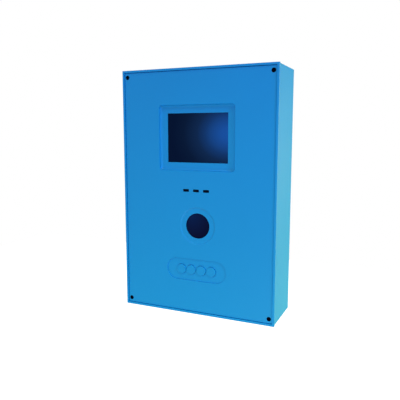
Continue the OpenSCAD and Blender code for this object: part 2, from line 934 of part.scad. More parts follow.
module button(i) {
    at = [button_x[i], keypad_z];
    color([0.16, 0.58, 0.84])
    {
        disc(at, button_r, button_face, cap_back);
        block(at, [ear_w, ear_len], cap_back - ear_t, cap_back);
        disc(at, stem_r, cap_back - join, stem_end);
    }
}

module button_spring(i) {
    turns = 16 * spring_turns;
    length = spring_len - 2 * wire_r - 2 * fit_gap;
    path = [for (k = [0:turns])
        [spring_r * cos(22.5 * k), length * k / turns, spring_r * sin(22.5 * k)]];
    color([0.7, 0.71, 0.73])
    translate([button_x[i], cap_back + wire_r + fit_gap - case_d, keypad_z])
        tube(path, wire_r, 6, [0, 1, 0]);
}

module switch_plunger(i) {
    color([0.85, 0.85, 0.82])
    disc([button_x[i], keypad_z], plunger_r, stem_end, stem_end + plunger_len);
}

module cover_ribbon() {
    near = display_board_back + plug_base_t;
    far = board_front - socket_d;
    plug_front = far - plug_t;
    z = socket_pos[1];
    color([0.72, 0.73, 0.75])
    {
        strip(socket_pos[0], ribbon_w, [
            [near, z + plug_rise], [near + 4, z + plug_rise], [near + 8, z + 11], [near + 12, z + 12],
            [plug_front - 6, z + 8], [plug_front - 3, z + 2], [plug_front - 1.5, z], [plug_front + 1, z]
        ]);
        block(socket_pos, [ribbon_w, socket_mouth - 2 * free_gap], plug_front, board_front - 2 * socket_base);
    }
}

module keypad_ribbon() {
    near = keypad_back + flat_plug_t;
    far = display_board_back + flat_plug_t;
    low = keypad_z + keypad_h / 2 - board_margin;
    high = window_z - display_post_z;
    color([0.72, 0.73, 0.75])
    strip(keypad_ribbon_x, flat_ribbon_w, [
        [near + ribbon_t / 2, low - 2], [near + ribbon_t / 2, low + 2], [near + 3, low + 12],
        [far + 3, high - 14], [far + ribbon_t / 2, high - 2], [far + ribbon_t / 2, high + 2]
    ]);
}

module reader_ribbon() {
    near = barrel_back;
    far = display_board_back + flat_plug_t;
    high = window_z - display_post_z;
    color([0.72, 0.73, 0.75])
    strip(port_x, flat_ribbon_w, [
        [near + ribbon_t / 2, port_z - 8], [near + ribbon_t / 2, port_z + 12], [near + 5.5, port_z + 18],
        [near + 5.5, port_z + 30], [far + 3, high - 10],
            [far + ribbon_t / 2, high - 2], [far + ribbon_t / 2, high + 2]
    ]);
}

housing();
threaded_inserts();
cable_grommet();
mounting_plate();
plate_screws();
power_supply();
supply_terminals();
supply_leads();
field_terminals();
board_standoffs();
main_board();
board_screws();
board_chips();
heat_sink();
clock_cell();
ribbon_socket();
modem_board();
modem_shield();
antenna();
antenna_lead();
front_cover();
cover_seal();
cover_screws();
display_window();
display_gasket();
display_panel();
display_board();
display_screws();
cover_ribbon();
status_lenses();
status_board();
status_leds();
status_screws();
reader_window();
reader_housing();
reader_board();
reader_lens();
reader_screws();
reader_ribbon();
keypad_guide();
keypad_board();
keypad_switches();
keypad_screws();
keypad_ribbon();
button(0);  // button_1
button(1);  // button_2
button(2);  // button_3
button(3);  // button_4
button_spring(0);  // button_spring_1
button_spring(1);  // button_spring_2
button_spring(2);  // button_spring_3
button_spring(3);  // button_spring_4
switch_plunger(0);  // switch_plunger_1
switch_plunger(1);  // switch_plunger_2
switch_plunger(2);  // switch_plunger_3
switch_plunger(3);  // switch_plunger_4
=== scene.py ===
import math
import bmesh
import bpy
from mathutils import Matrix, Vector


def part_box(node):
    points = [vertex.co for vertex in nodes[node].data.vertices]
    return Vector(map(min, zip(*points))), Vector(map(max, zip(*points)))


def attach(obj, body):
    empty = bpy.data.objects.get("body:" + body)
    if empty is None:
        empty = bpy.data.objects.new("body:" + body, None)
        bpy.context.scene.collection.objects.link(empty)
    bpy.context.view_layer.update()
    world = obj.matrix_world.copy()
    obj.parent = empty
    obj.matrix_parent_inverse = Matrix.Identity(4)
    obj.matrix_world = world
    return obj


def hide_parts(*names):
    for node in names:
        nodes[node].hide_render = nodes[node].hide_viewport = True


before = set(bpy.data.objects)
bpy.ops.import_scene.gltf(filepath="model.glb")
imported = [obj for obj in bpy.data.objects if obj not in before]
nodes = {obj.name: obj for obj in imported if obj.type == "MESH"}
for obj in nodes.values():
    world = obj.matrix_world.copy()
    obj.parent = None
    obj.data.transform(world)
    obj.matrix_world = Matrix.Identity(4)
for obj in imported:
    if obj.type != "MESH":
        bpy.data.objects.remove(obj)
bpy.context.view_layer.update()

past = 0.01  # how far a cutter runs out past a face
lap = 0.001  # how far joined solids run into each other
depthAxis = 1  # y runs from the front to the back


def newBox(low, high):
    bm = bmesh.new()
    bmesh.ops.create_cube(bm, size=1)
    size = [high[i] - low[i] for i in range(3)]
    middle = [(high[i] + low[i]) / 2 for i in range(3)]
    bmesh.ops.scale(bm, vec=size, verts=bm.verts)
    bmesh.ops.translate(bm, vec=middle, verts=bm.verts)
    return bm


def newRod(x, z, radius, front, back, segments=48, radiusFront=None):  # a round bar along Y
    bm = bmesh.new()
    bmesh.ops.create_cone(bm, cap_ends=True, segments=segments, radius1=radius,
                          radius2=radius if radiusFront is None else radiusFront, depth=back - front)
    bmesh.ops.rotate(bm, cent=(0, 0, 0), matrix=Matrix.Rotation(math.radians(90), 3, "X"), verts=bm.verts)
    bmesh.ops.translate(bm, vec=(x, (front + back) / 2, z), verts=bm.verts)
    return bm


def newTurned(x, z, outline, segments=64):  # outline of (radius, y) points spun round a Y axis
    bm = bmesh.new()
    points = [bm.verts.new((radius, y, 0)) for radius, y in outline]
    edges = [bm.edges.new(pair) for pair in zip(points, points[1:])]
    bmesh.ops.spin(bm, geom=points + edges, cent=(0, 0, 0), axis=(0, 1, 0), dvec=(0, 0, 0),
                   angle=math.tau, steps=segments, use_merge=True)
    bmesh.ops.remove_doubles(bm, verts=bm.verts, dist=1e-7)
    bmesh.ops.recalc_face_normals(bm, faces=bm.faces)
    bmesh.ops.translate(bm, vec=(x, 0, z), verts=bm.verts)
    return bm


def roundEdges(bm, radius, segments, wanted):  # rounds the edges for which wanted(edge) holds
    picked = [e for e in bm.edges if wanted(e)]
    bmesh.ops.bevel(bm, geom=picked, offset=radius, offset_type="OFFSET", segments=segments,
                    profile=0.5, affect="EDGES", clamp_overlap=True, material=-1)


def runsAlong(edge, axis):
    a, b = edge.verts
    return all(abs(a.co[i] - b.co[i]) < 1e-6 for i in range(3) if i != axis)


def liesAt(edge, axis, value):
    return all(abs(v.co[axis] - value) < 1e-6 for v in edge.verts)


def roundedBox(low, high, radius, segments=8):  # rounded seen from the front
    bm = newBox(low, high)
    roundEdges(bm, radius, segments, lambda e: runsAlong(e, depthAxis))
    return bm


def objectFrom(bm, name):
    mesh = bpy.data.meshes.new(name)
    bm.to_mesh(mesh)
    bm.free()
    obj = bpy.data.objects.new(name, mesh)
    bpy.context.scene.collection.objects.link(obj)
    return obj


def combine(target, bm, how):  # joins or cuts target with a second solid
    tool = objectFrom(bm, "tool")
    step = target.modifiers.new("step", "BOOLEAN")
    step.object = tool
    step.operation = how
    step.solver = "EXACT"
    solid = bpy.data.meshes.new_from_object(target.evaluated_get(bpy.context.evaluated_depsgraph_get()))
    target.modifiers.clear()
    old = target.data
    target.data = solid
    solid.name = target.name
    bpy.data.meshes.remove(old)
    bpy.data.objects.remove(tool)


def joinTo(target, bm):
    combine(target, bm, "UNION")


def cutFrom(target, bm):
    combine(target, bm, "DIFFERENCE")


def finishPiece(obj, body, material, replaced, edge=0, smooth=35):
    mesh = obj.data
    mesh.materials.clear()
    mesh.materials.append(material)
    for face in mesh.polygons:
        face.material_index = 0
        face.use_smooth = True
    mesh.set_sharp_from_angle(angle=math.radians(smooth))
    if edge:
        bevel = obj.modifiers.new("edges", "BEVEL")
        bevel.width = edge
        bevel.segments = 2
        bevel.limit_method = "ANGLE"
        bevel.angle_limit = math.radians(smooth)
        bevel.miter_outer = "MITER_ARC"
    flatten = obj.modifiers.new("flat faces", "WEIGHTED_NORMAL")  # keeps broad faces free of streaks
    flatten.mode = "FACE_AREA"
    flatten.weight = 50
    flatten.keep_sharp = True
    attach(obj, body)
    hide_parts(*replaced)


def solidBoxes(node):  # the box of each separate solid in a CAD node
    bm = bmesh.new()
    bm.from_mesh(nodes[node].data)
    bmesh.ops.remove_doubles(bm, verts=bm.verts, dist=1e-6)
    left = set(bm.verts)
    found = []
    while left:
        seed = left.pop()
        group, waiting = {seed}, [seed]
        while waiting:
            vert = waiting.pop()
            for link in vert.link_edges:
                other = link.other_vert(vert)
                if other in left:
                    left.discard(other)
                    group.add(other)
                    waiting.append(other)
        low = Vector([min(v.co[i] for v in group) for i in range(3)])
        high = Vector([max(v.co[i] for v in group) for i in range(3)])
        found.append((low, high))
    bm.free()
    return sorted(found, key=lambda pair: (round(pair[0].z, 5), round(pair[0].x, 5)))


def middleOf(low, high):
    return (low.x + high.x) / 2, (low.z + high.z) / 2


def centreOf(node):
    return middleOf(*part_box(node))


def centresOf(node):  # the middle of each separate solid in a CAD node
    return [middleOf(low, high) for low, high in solidBoxes(node)]


def newMaterial(name, color, roughness, metallic=0.0, specular=0.5):
    material = bpy.data.materials.new(name)
    material.use_nodes = True
    shader = material.node_tree.nodes["Principled BSDF"]
    shader.inputs["Base Color"].default_value = (*color, 1)
    shader.inputs["Roughness"].default_value = roughness
    shader.inputs["Metallic"].default_value = metallic
    shader.inputs["Specular IOR Level"].default_value = specular
    return material, material.node_tree, shader


def addNode(tree, kind, **values):
    node = tree.nodes.new(kind)
    for key, value in values.items():
        if key in node.inputs.keys():
            node.inputs[key].default_value = value
        else:
            setattr(node, key, value)
    return node


def noiseOn(tree, scale, detail=2.0, stretch=(1, 1, 1)):
    coords = addNode(tree, "ShaderNodeTexCoord")
    mapping = addNode(tree, "ShaderNodeMapping")
    mapping.inputs["Scale"].default_value = stretch
    noise = addNode(tree, "ShaderNodeTexNoise", Scale=scale, Detail=detail)
    tree.links.new(coords.outputs["Object"], mapping.inputs["Vector"])
    tree.links.new(mapping.outputs["Vector"], noise.inputs["Vector"])
    return noise


def rampOf(tree, source, stops):
    ramp = addNode(tree, "ShaderNodeValToRGB")
    elements = ramp.color_ramp.elements
    while len(elements) < len(stops):
        elements.new(0.5)
    for element, (place, color) in zip(elements, stops):
        element.position = place
        element.color = (*color, 1)
    tree.links.new(source, ramp.inputs["Fac"])
    return ramp


def grey(value):
    return (value, value, value)


def bumpFrom(tree, shader, height, strength, distance):
    bump = addNode(tree, "ShaderNodeBump", Strength=strength, Distance=distance)
    tree.links.new(height, bump.inputs["Height"])
    tree.links.new(bump.outputs["Normal"], shader.inputs["Normal"])


def scaled(color, factor):
    return tuple(min(1.0, c * factor) for c in color)


# the blue shell is painted lighter and more cyan at its lower end, a painted light standing in for light from
# below
shellColors = {"plain": (0.002, 0.26, 0.745), "paintedLowerLight": (0.003, 0.34, 0.79), "paintedLightStart": 0.15, "paintedLightEnd": -0.15}


def mouldedPlastic(name, color, roughness=0.42, grain=0.12, specular=0.3, cloud=0.02, paintedLowerLight=None):
    material, tree, shader = newMaterial(name, color, roughness, specular=specular)
    tint = noiseOn(tree, 9, 3)
    tone = rampOf(tree, tint.outputs["Fac"],
                  [(0.35, scaled(color, 1 - cloud)), (0.65, scaled(color, 1 + cloud))])
    colored = tone.outputs["Color"]
    if paintedLowerLight:  # painted light: the colour turns lighter and more cyan towards the lower end, standing in for light falling from below
        coords = addNode(tree, "ShaderNodeTexCoord")
        axes = addNode(tree, "ShaderNodeSeparateXYZ")
        height = addNode(tree, "ShaderNodeMapRange")
        height.inputs["From Min"].default_value = shellColors["paintedLightStart"]
        height.inputs["From Max"].default_value = shellColors["paintedLightEnd"]
        blend = addNode(tree, "ShaderNodeMix", data_type="RGBA")
        blend.inputs[7].default_value = (*paintedLowerLight, 1)
        tree.links.new(coords.outputs["Object"], axes.inputs[0])
        tree.links.new(axes.outputs["Z"], height.inputs["Value"])
        tree.links.new(height.outputs["Result"], blend.inputs[0])
        tree.links.new(colored, blend.inputs[6])
        colored = blend.outputs[2]
    tree.links.new(colored, shader.inputs["Base Color"])
    fine = noiseOn(tree, 2600, 2)
    gloss = rampOf(tree, fine.outputs["Fac"], [(0.3, grey(roughness - 0.05)), (0.7, grey(roughness + 0.06))])
    tree.links.new(gloss.outputs["Color"], shader.inputs["Roughness"])
    bumpFrom(tree, shader, fine.outputs["Fac"], grain, 0.00005)
    return material


def sheetMetal(name, color, roughness=0.35, stretch=(1, 1, 40)):
    material, tree, shader = newMaterial(name, color, roughness, metallic=1)
    brushed = noiseOn(tree, 60, 4, stretch)
    tone = rampOf(tree, brushed.outputs["Fac"], [(0.3, scaled(color, 0.8)), (0.7, scaled(color, 1.1))])
    tree.links.new(tone.outputs["Color"], shader.inputs["Base Color"])
    gloss = rampOf(tree, brushed.outputs["Fac"],
                   [(0.3, grey(roughness + 0.12)), (0.7, grey(roughness - 0.08))])
    tree.links.new(gloss.outputs["Color"], shader.inputs["Roughness"])
    bumpFrom(tree, shader, brushed.outputs["Fac"], 0.1, 0.00003)
    return material


def softRubber(name, color, roughness=0.75):
    material, tree, shader = newMaterial(name, color, roughness, specular=0.25)
    pores = noiseOn(tree, 1400, 4)
    tone = rampOf(tree, pores.outputs["Fac"], [(0.3, scaled(color, 0.7)), (0.7, scaled(color, 1.5))])
    tree.links.new(tone.outputs["Color"], shader.inputs["Base Color"])
    bumpFrom(tree, shader, pores.outputs["Fac"], 0.35, 0.0001)
    return material


# the case, cover and buttons carry the painted lighter lower end
casePlastic = mouldedPlastic("casePlastic", shellColors["plain"], paintedLowerLight=shellColors["paintedLowerLight"])
coverPlastic = mouldedPlastic("coverPlastic", shellColors["plain"], paintedLowerLight=shellColors["paintedLowerLight"])
buttonPlastic = mouldedPlastic("buttonPlastic", shellColors["plain"], roughness=0.38, grain=0.08,
                               paintedLowerLight=shellColors["paintedLowerLight"])
blackPlastic = mouldedPlastic("blackPlastic", (0.012, 0.012, 0.014), roughness=0.5, specular=0.4, cloud=0.2)
whitePlastic = mouldedPlastic("whitePlastic", (0.68, 0.68, 0.64), roughness=0.4)
greenPlastic = mouldedPlastic("greenPlastic", (0.02, 0.19, 0.05), roughness=0.4, cloud=0.06)
greyCable = mouldedPlastic("greyCable", (0.4, 0.41, 0.43), roughness=0.5)
blackOxide = mouldedPlastic("blackOxide", (0.001, 0.002, 0.012), roughness=0.6, specular=0.03, cloud=0.2)
redCable = mouldedPlastic("redCable", (0.45, 0.015, 0.012), roughness=0.4)
blackRubber = softRubber("blackRubber", (0.012, 0.012, 0.013))
zincSteel = sheetMetal("zincSteel", (0.6, 0.61, 0.63))
springSteel = sheetMetal("springSteel", (0.4, 0.41, 0.43), roughness=0.3)
turnedBrass = sheetMetal("turnedBrass", (0.62, 0.42, 0.15), roughness=0.3, stretch=(1, 30, 1))
blackAluminium = sheetMetal("blackAluminium", (0.025, 0.025, 0.028), roughness=0.45)


def circuitBoard(name, color):
    material, tree, shader = newMaterial(name, color, 0.35, specular=0.5)
    coords = addNode(tree, "ShaderNodeTexCoord")
    tracks = addNode(tree, "ShaderNodeTexVoronoi", Scale=260, feature="F1", distance="CHEBYCHEV")
    tree.links.new(coords.outputs["Object"], tracks.inputs["Vector"])
    tone = rampOf(tree, tracks.outputs["Distance"], [
        (0.0, scaled(color, 2.4)), (0.16, scaled(color, 2.4)), (0.2, color), (0.42, color),
        (0.46, scaled(color, 1.7)), (0.52, scaled(color, 0.8))])
    tree.links.new(tone.outputs["Color"], shader.inputs["Base Color"])
    bumpFrom(tree, shader, tracks.outputs["Distance"], 0.2, 0.00005)
    return material


greenBoard = circuitBoard("greenBoard", (0.008, 0.095, 0.035))
blueBoard = circuitBoard("blueBoard", (0.006, 0.04, 0.16))


def paintedGlowPane(name, centre, reach, stops):  # a dark glossy pane with a painted glow: emission standing in for the blue sheen of light seen on dark glass
    material, tree, shader = newMaterial(name, (0.001, 0.002, 0.006), 0.08, specular=0.02)
    coords = addNode(tree, "ShaderNodeTexCoord")
    mapping = addNode(tree, "ShaderNodeMapping", vector_type="TEXTURE")
    mapping.inputs["Location"].default_value = centre
    mapping.inputs["Scale"].default_value = reach
    ball = addNode(tree, "ShaderNodeTexGradient", gradient_type="SPHERICAL")
    tree.links.new(coords.outputs["Object"], mapping.inputs["Vector"])
    tree.links.new(mapping.outputs["Vector"], ball.inputs["Vector"])
    light = rampOf(tree, ball.outputs["Fac"], stops)
    tree.links.new(light.outputs["Color"], shader.inputs["Emission Color"])
    shader.inputs["Emission Strength"].default_value = 1.0
    return material


view = {"place": (0.2438, -0.6039, 0.0745), "azimuth": 24.151, "elevation": 7.889, "lens": 43.363}


def makeCamera():
    turn, tilt = math.radians(view["azimuth"]), math.radians(view["elevation"])
    ahead = Vector((-math.sin(turn) * math.cos(tilt), math.cos(turn) * math.cos(tilt), -math.sin(tilt)))
    cameraData = bpy.data.cameras.new("camera")
    cameraData.lens = view["lens"]
    cameraData.sensor_width = 36
    cameraData.clip_start = 0.01
    camera = bpy.data.objects.new("camera", cameraData)
    camera.location = view["place"]
    camera.rotation_mode = "QUATERNION"
    camera.rotation_quaternion = ahead.to_track_quat("-Z", "Y")
    bpy.context.scene.collection.objects.link(camera)
    bpy.context.scene.camera = camera


lamps = {
    "key": {"place": (0.85, -0.4, 0.5), "aim": (0, 0, 0), "size": 0.25, "power": 3.2,
            "color": (0.4, 0.55, 1)},
    "low": {"place": (0.15, -0.75, -0.5), "aim": (0, 0, -0.08), "size": 0.5, "power": 1.7,
            "color": (0.5, 1, 0.9)},
    "top": {"place": (0.1, -0.5, 1.1), "aim": (0, 0, 0), "size": 0.8, "power": 3.0,
            "color": (1, 1, 0.6)},
    "back": {"place": (1.0, 0.6, 0.0), "aim": (0.1, -0.04, 0), "size": 0.8, "power": 15,
             "color": (1, 0.95, 0.31)},
}


def makeLamp(name, setting):
    lampData = bpy.data.lights.new(name, "AREA")
    lampData.shape = "DISK"
    lampData.size = setting["size"]
    lampData.energy = setting["power"]
    lampData.color = setting["color"]
    lamp = bpy.data.objects.new(name, lampData)
    lamp.location = setting["place"]
    lamp.rotation_mode = "QUATERNION"
    lamp.rotation_quaternion = (Vector(setting["aim"]) - lamp.location).to_track_quat("-Z", "Y")
    bpy.context.scene.collection.objects.link(lamp)


room = {"front": (0.54, 0.54, 0.54), "behind": (0.08, 0.08, 0.11), "fadeFrom": -0.1, "fadeTo": 0.6,
        "floorHeight": -0.9, "floorSize": 6.0, "floorGlow": 0.1}


def makeRoom():  # white to the camera, dimmer to the object
    world = bpy.data.worlds.new("studio")
    bpy.context.scene.world = world
    world.use_nodes = True
    tree = world.node_tree
    tree.nodes.clear()
    path = addNode(tree, "ShaderNodeLightPath")
    coords = addNode(tree, "ShaderNodeTexCoord")
    axes = addNode(tree, "ShaderNodeSeparateXYZ")
    fade = addNode(tree, "ShaderNodeMapRange", interpolation_type="SMOOTHSTEP")
    fade.inputs["From Min"].default_value = room["fadeFrom"]
    fade.inputs["From Max"].default_value = room["fadeTo"]
    walls = addNode(tree, "ShaderNodeMix", data_type="RGBA")
    walls.inputs[6].default_value = (*room["front"], 1)
    walls.inputs[7].default_value = (*room["behind"], 1)
    seen = addNode(tree, "ShaderNodeBackground", Color=(1, 1, 1, 1), Strength=1.0)
    cast = addNode(tree, "ShaderNodeBackground", Strength=1.0)
    mix = addNode(tree, "ShaderNodeMixShader")
    out = addNode(tree, "ShaderNodeOutputWorld")
    tree.links.new(coords.outputs["Generated"], axes.inputs[0])
    tree.links.new(axes.outputs["Y"], fade.inputs["Value"])
    tree.links.new(fade.outputs["Result"], walls.inputs[0])
    tree.links.new(walls.outputs[2], cast.inputs["Color"])
    tree.links.new(path.outputs["Is Camera Ray"], mix.inputs[0])
    tree.links.new(cast.outputs[0], mix.inputs[1])
    tree.links.new(seen.outputs[0], mix.inputs[2])
    tree.links.new(mix.outputs[0], out.inputs["Surface"])


def makeFloor():
    material, floorTree, shader = newMaterial("paleFloor", (0.8, 0.8, 0.8), 0.9, specular=0.0)
    shader.inputs["Emission Color"].default_value = (1, 1, 1, 1)
    floorSeen = addNode(floorTree, "ShaderNodeLightPath")
    floorLevel = addNode(floorTree, "ShaderNodeMapRange")
    floorLevel.inputs["To Min"].default_value = room["floorGlow"]
    floorTree.links.new(floorSeen.outputs["Is Camera Ray"], floorLevel.inputs["Value"])
    floorTree.links.new(floorLevel.outputs["Result"], shader.inputs["Emission Strength"])
    bm = bmesh.new()
    bmesh.ops.create_grid(bm, x_segments=1, y_segments=1, size=room["floorSize"] / 2)
    bmesh.ops.translate(bm, vec=(0, 0, room["floorHeight"]), verts=bm.verts)
    floor = objectFrom(bm, "floor")
    floor.data.materials.append(material)


makeCamera()
for lampName, lampSetting in lamps.items():
    makeLamp(lampName, lampSetting)
makeRoom()
makeFloor()
bpy.context.scene.view_settings.view_transform = "Standard"
print("camera, lamps and floor are set")


caseLow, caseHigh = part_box("housing")
coverLow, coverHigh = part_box("front_cover")
coverFace = coverLow.y
buttonNumbers = range(1, 5)

caseSizes = {"lip": 0.0007, "lipDepth": 0.003, "lipEdge": 0.0005, "wall": 0.002, "backWall": 0.003,
             "backRadius": 0.0045, "edge": 0.0004, "ledge": 0.0002, "ledgeDepth": 0.0025, "bossRadius": 0.005,
             "insertRadius": 0.00215, "insertDepth": 0.006, "screwHole": 0.0016, "screwDepth": 0.011,
             "plateHole": 0.0015, "boltRadius": 0.00275, "boltX": 0.085, "boltZ": 0.125, "padRadius": 0.008,
             "padHeight": 0.0015, "grommetNeck": 0.0025, "grommetGap": 0.00015, "grommetSeat": 0.0015}


def fourCorners(x, z):
    return [(sx * x, sz * z) for sx in (-1, 1) for sz in (-1, 1)]


def makeCase():
    s = caseSizes
    lip = Vector((s["lip"], 0, s["lip"]))
    bodyLow, bodyHigh = caseLow + lip, caseHigh - lip
    body = newBox(bodyLow, bodyHigh)
    roundEdges(body, s["backRadius"], 8, lambda e: liesAt(e, depthAxis, caseHigh.y))
    case = objectFrom(body, "caseShell")
    rim = newBox(caseLow, (caseHigh.x, caseLow.y + s["lipDepth"], caseHigh.z))
    roundEdges(rim, s["lipEdge"], 3, lambda e: liesAt(e, depthAxis, caseLow.y) or runsAlong(e, depthAxis))
    joinTo(case, rim)
    wall = Vector((s["wall"], 0, s["wall"]))
    innerBack = caseHigh.y - s["backWall"]
    innerLow, innerHigh = bodyLow + wall, bodyHigh - wall
    cutFrom(case, newBox(innerLow - Vector((0, past, 0)), (innerHigh.x, innerBack, innerHigh.z)))
    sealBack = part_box("cover_seal")[1].y
    ledgeLow = bodyLow + wall / 2 + Vector((0, sealBack - bodyLow.y, 0))
    ledgeHigh = bodyHigh - wall / 2 + Vector((0, sealBack + s["ledgeDepth"] - bodyHigh.y, 0))
    ledge = objectFrom(newBox(ledgeLow, ledgeHigh), "ledge")
    cutFrom(ledge, newBox((innerLow.x + s["ledge"], sealBack - past, innerLow.z + s["ledge"]),
                          (innerHigh.x - s["ledge"], sealBack + past, innerHigh.z - s["ledge"])))
    joinTo(case, meshOf(ledge))
    screws, plateScrews = centresOf("threaded_inserts"), centresOf("plate_screws")
    bolts = fourCorners(s["boltX"], s["boltZ"])
    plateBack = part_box("mounting_plate")[1].y
    for x, z in screws:
        joinTo(case, newRod(x, z, s["bossRadius"], sealBack, innerBack + lap))
    for x, z in plateScrews:
        joinTo(case, newRod(x, z, s["bossRadius"], plateBack, innerBack + lap))
    for x, z in bolts:
        joinTo(case, newRod(x, z, s["padRadius"], innerBack - s["padHeight"], innerBack + lap))
    for x, z in screws:
        cutFrom(case, newRod(x, z, s["insertRadius"], sealBack - lap, sealBack + s["insertDepth"], 32))
        cutFrom(case, newRod(x, z, s["screwHole"], sealBack, sealBack + s["screwDepth"], 32))
    for x, z in plateScrews:
        cutFrom(case, newRod(x, z, s["plateHole"], plateBack - lap, innerBack + lap, 32))
    for x, z in bolts:
        cutFrom(case, newRod(x, z, s["boltRadius"], innerBack - past, caseHigh.y + past, 48))
    low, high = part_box("cable_grommet")
    x, z = middleOf(low, high)
    radius = (high.x - low.x) / 2
    cutFrom(case, newRod(x, z, radius - s["grommetNeck"], innerBack - past, caseHigh.y + past, 64))
    cutFrom(case, newRod(x, z, radius + s["grommetGap"], caseHigh.y - s["grommetSeat"],
                         caseHigh.y + past, 64))
    finishPiece(case, "case", casePlastic, ["housing"], edge=s["edge"])


def meshOf(obj):  # takes an object's mesh as a bmesh and removes the object
    bm = bmesh.new()
    bm.from_mesh(obj.data)
    bpy.data.objects.remove(obj)
    return bm


makeCase()
print("case shell is built")


coverSizes = {"thick": 0.004, "edge": 0.00035, "rimEdge": 0.0007,
              "pocketW": 0.1, "pocketH": 0.08, "pocketD": 0.004, "windowW": 0.08, "windowH": 0.06,
              "windowZ": 0.0687, "trayW": 0.105, "trayH": 0.085, "trayBack": 0.0025, "trayCorner": 0.006,
              "slotW": 0.008, "slotH": 0.0034, "slotCorner": 0.001,
              "portX": 0.0018, "portZ": -0.0391, "portRadius": 0.0158,
              "ringRadius": 0.022, "ringSlope": 0.0017, "ringD": 0.001,
              "pillW": 0.08, "pillH": 0.028, "pillD": 0.001, "keypadZ": -0.0953, "buttonHole": 0.00625,
              "recess": 0.00275, "recessD": 0.0025, "screwHole": 0.0016,
              "postRadius": 0.003, "postHole": 0.00125, "postDepth": 0.0042, "readerEar": 0.003}
coverSeams = {0: (-0.088, -0.058, 0.058, 0.088), 2: (-0.13, -0.115, -0.07, -0.008, 0.018, 0.12, 0.135)}


def newPlate(low, high):
    plate = newBox(low, high)
    roundEdges(plate, coverSizes["rimEdge"], 4,
               lambda e: liesAt(e, depthAxis, low.y) or runsAlong(e, depthAxis))
    for axis, places in coverSeams.items():  # parts the broad faces, so each opening cuts a face of its own
        for place in places:
            normal = Vector([float(i == axis) for i in range(3)])
            bmesh.ops.bisect_plane(plate, geom=plate.verts[:] + plate.edges[:] + plate.faces[:], dist=1e-7,
                                   plane_co=normal * place, plane_no=normal)
    return plate


def aroundPoint(x, z, width, height, front, back):  # the two corners of a box round a point on the cover
    return (x - width / 2, front, z - height / 2), (x + width / 2, back, z + height / 2)


def makeCover():
    s = coverSizes
    face = coverFace
    back = face + s["thick"]
    cover = objectFrom(newPlate(coverLow, (coverHigh.x, back, coverHigh.z)), "frontCoverShell")
    pocketFloor = face + s["pocketD"]
    trayBack = pocketFloor + s["trayBack"]
    joinTo(cover, roundedBox(*aroundPoint(0, s["windowZ"], s["trayW"], s["trayH"], back - lap, trayBack),
                             s["trayCorner"]))
    postEnds = {"display_screws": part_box("display_board")[0].y, "status_screws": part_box("status_board")[0].y,
                "reader_screws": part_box("reader_housing")[1].y - s["readerEar"],
                "keypad_screws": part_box("keypad_guide")[0].y}
    posts = [(x, z, end) for name, end in postEnds.items() for x, z in centresOf(name)]
    for x, z, end in posts:
        joinTo(cover, newRod(x, z, s["postRadius"], back - lap, end))
    for x, z, end in posts:
        cutFrom(cover, newRod(x, z, s["postHole"], end - s["postDepth"], end + lap, 24))
    pocket = newBox(*aroundPoint(0, s["windowZ"], s["pocketW"], s["pocketH"], face - past, pocketFloor))
    roundEdges(pocket, s["pocketD"], 10,
               lambda e: runsAlong(e, depthAxis) or liesAt(e, depthAxis, pocketFloor))
    cutFrom(cover, pocket)
    cutFrom(cover, newBox(*aroundPoint(0, s["windowZ"], s["windowW"], s["windowH"], face, trayBack + past)))
    for x, z in centresOf("status_lenses"):
        cutFrom(cover, roundedBox(*aroundPoint(x, z, s["slotW"], s["slotH"], face - past, back + past),
                                  s["slotCorner"], 5))
    cutFrom(cover, newRod(s["portX"], s["portZ"], s["portRadius"], face - past, back + past, 96))
    flare = s["ringSlope"] / s["ringD"]
    cutFrom(cover, newRod(s["portX"], s["portZ"], s["ringRadius"], face - lap, face + s["ringD"], 96,
                          s["ringRadius"] + flare * (s["ringD"] + lap)))
    cutFrom(cover, roundedBox(*aroundPoint(0, s["keypadZ"], s["pillW"], s["pillH"],
                                           face - past, face + s["pillD"]),
                              s["pillH"] / 2 - 1e-5, 24))
    for number in buttonNumbers:
        cutFrom(cover, newRod(*centreOf(f"button_{number}"), s["buttonHole"], face - past, back + past, 64))
    for x, z in centresOf("cover_screws"):
        cutFrom(cover, newRod(x, z, s["recess"], face - past, face + s["recessD"], 48))
        cutFrom(cover, newRod(x, z, s["screwHole"], face, back + past, 32))
    finishPiece(cover, "cover", coverPlastic, ["front_cover"], edge=s["edge"], smooth=25)


makeCover()
print("front cover is built")


buttonSizes = {"edge": 0.0004, "earW": 0.003, "earGap": 0.0001, "stem": 0.002, "stemEdge": 0.0003,
               "lift": 0.0015}


def makeButton(number):
    s = buttonSizes
    node = f"button_{number}"
    low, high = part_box(node)
    x, z = centreOf(node)
    radius = (high.x - low.x) / 2
    coverBack = coverFace + coverSizes["thick"]
    capBack = coverBack + s["lift"]
    angles = [math.radians(15 * k) for k in range(7)]
    outline = [(0, low.y)] + [(radius - s["edge"] + s["edge"] * math.sin(a),
                               low.y + s["edge"] - s["edge"] * math.cos(a)) for a in angles]
    outline += [(radius, capBack), (s["stem"], capBack), (s["stem"], high.y - s["stemEdge"]),
                (s["stem"] - s["stemEdge"], high.y), (0, high.y)]
    button = objectFrom(newTurned(x, z, outline), f"buttonCap{number}")
    joinTo(button, newBox((x - s["earW"] / 2, coverBack + s["earGap"], low.z),
                          (x + s["earW"] / 2, capBack, high.z)))
    finishPiece(button, node, buttonPlastic, [node])


for buttonNumber in buttonNumbers:
    makeButton(buttonNumber)
print("buttons are built")
